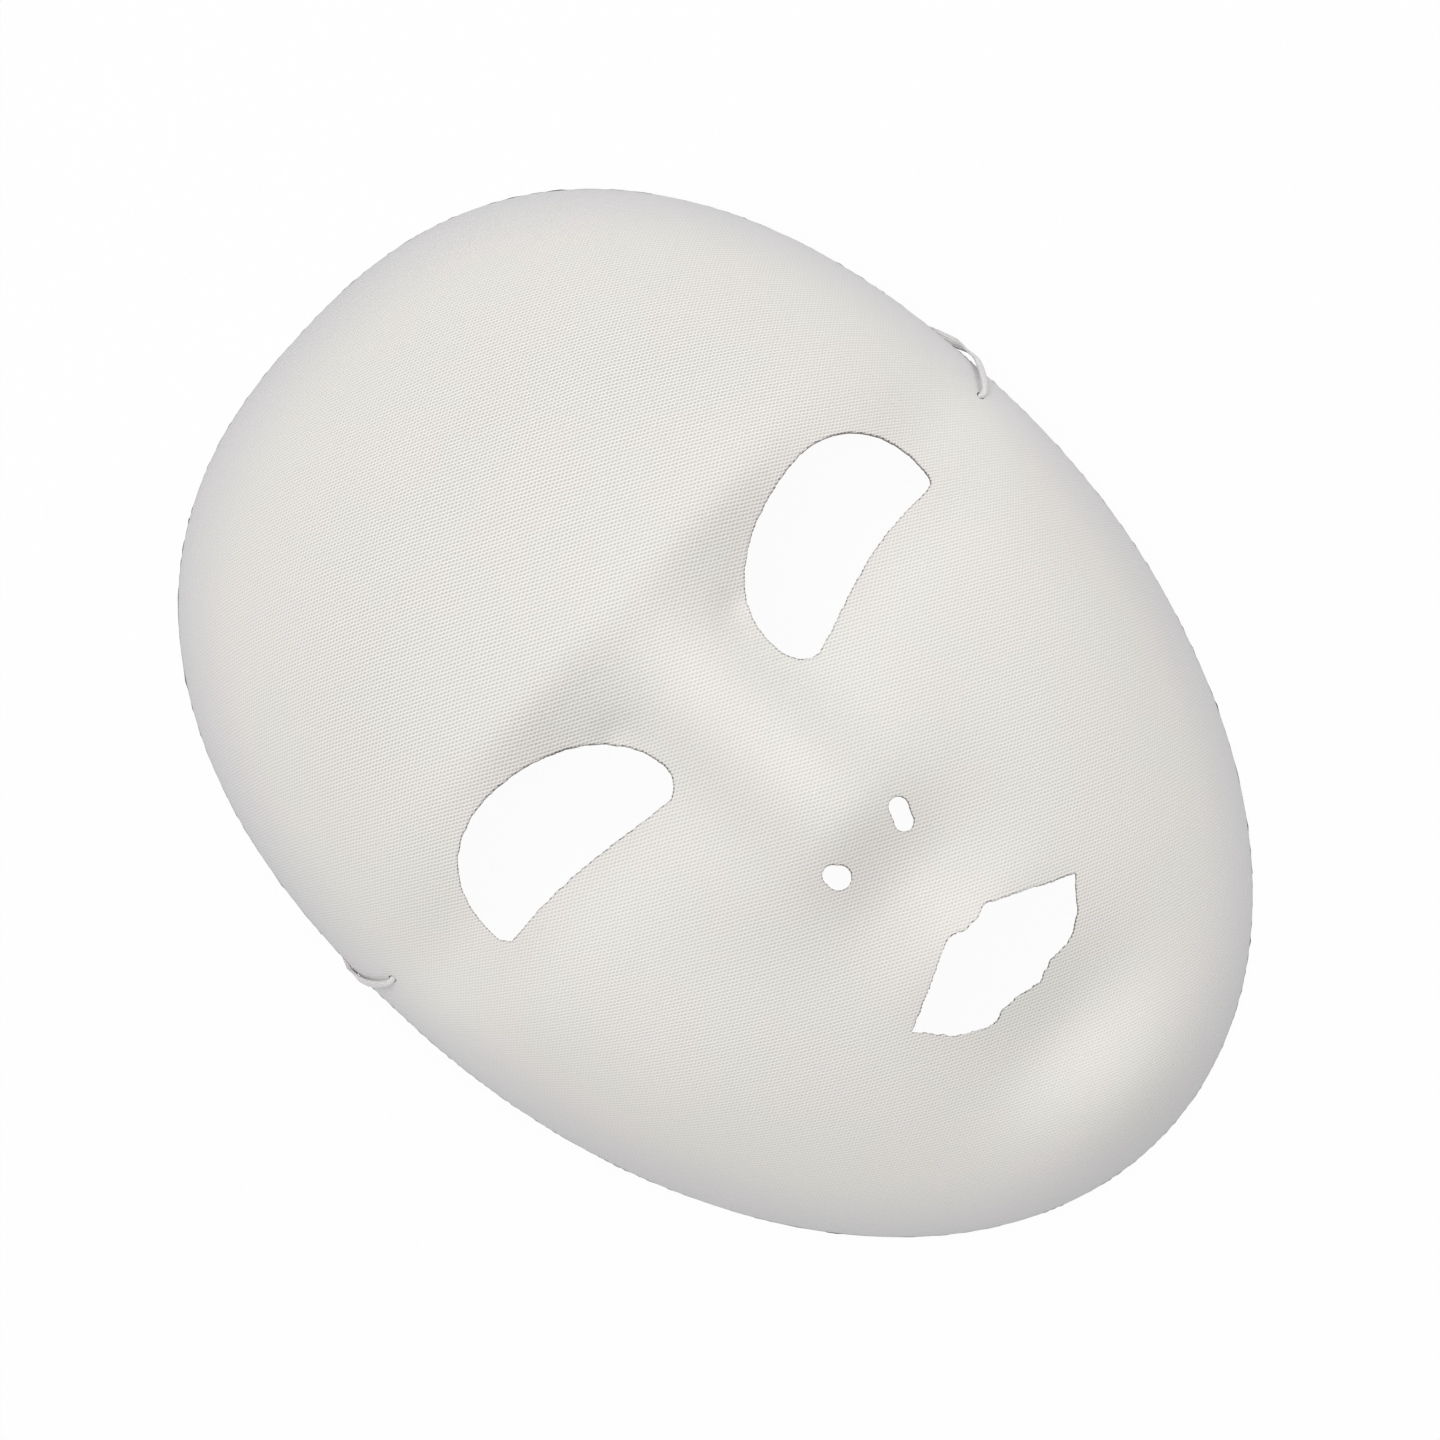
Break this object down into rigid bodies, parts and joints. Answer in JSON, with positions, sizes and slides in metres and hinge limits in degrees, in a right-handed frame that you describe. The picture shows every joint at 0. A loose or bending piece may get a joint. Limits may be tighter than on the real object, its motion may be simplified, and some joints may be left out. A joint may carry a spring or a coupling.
{
  "type": "full-face mask",
  "caption": "Blank white full-face craft mask: woven cloth over a moulded shell, with eye, nostril and mouth holes and a knotted elastic strap.",
  "frame": {"origin": "middle of the rim outline, on the surface that the mask lies on", "axes": "+Z out of the face, +Y towards the forehead, +X to the right of someone who looks at the face"},
  "size_m": [0.1784, 0.2398, 0.0689],
  "materials": {
    "cloth": "matt plain-woven white cotton",
    "backing": "matt moulded paper fibre",
    "elastic": "matt braided white elastic"
  },
  "bodies": {
    "mask": {"cloth_face": "cloth", "backing_shell": "backing"},
    "strap": {"elastic_strap": "elastic", "knot_right": "elastic", "knot_left": "elastic"}
  },
  "joints": [
    {"name": "strap_swing", "type": "hinge", "parent": "mask", "child": "strap", "pos_m": [0, 0.01315, 0.0154], "axis": [-0.9989, 0.0475, 0], "range_deg": [0, 65]}
  ]
}
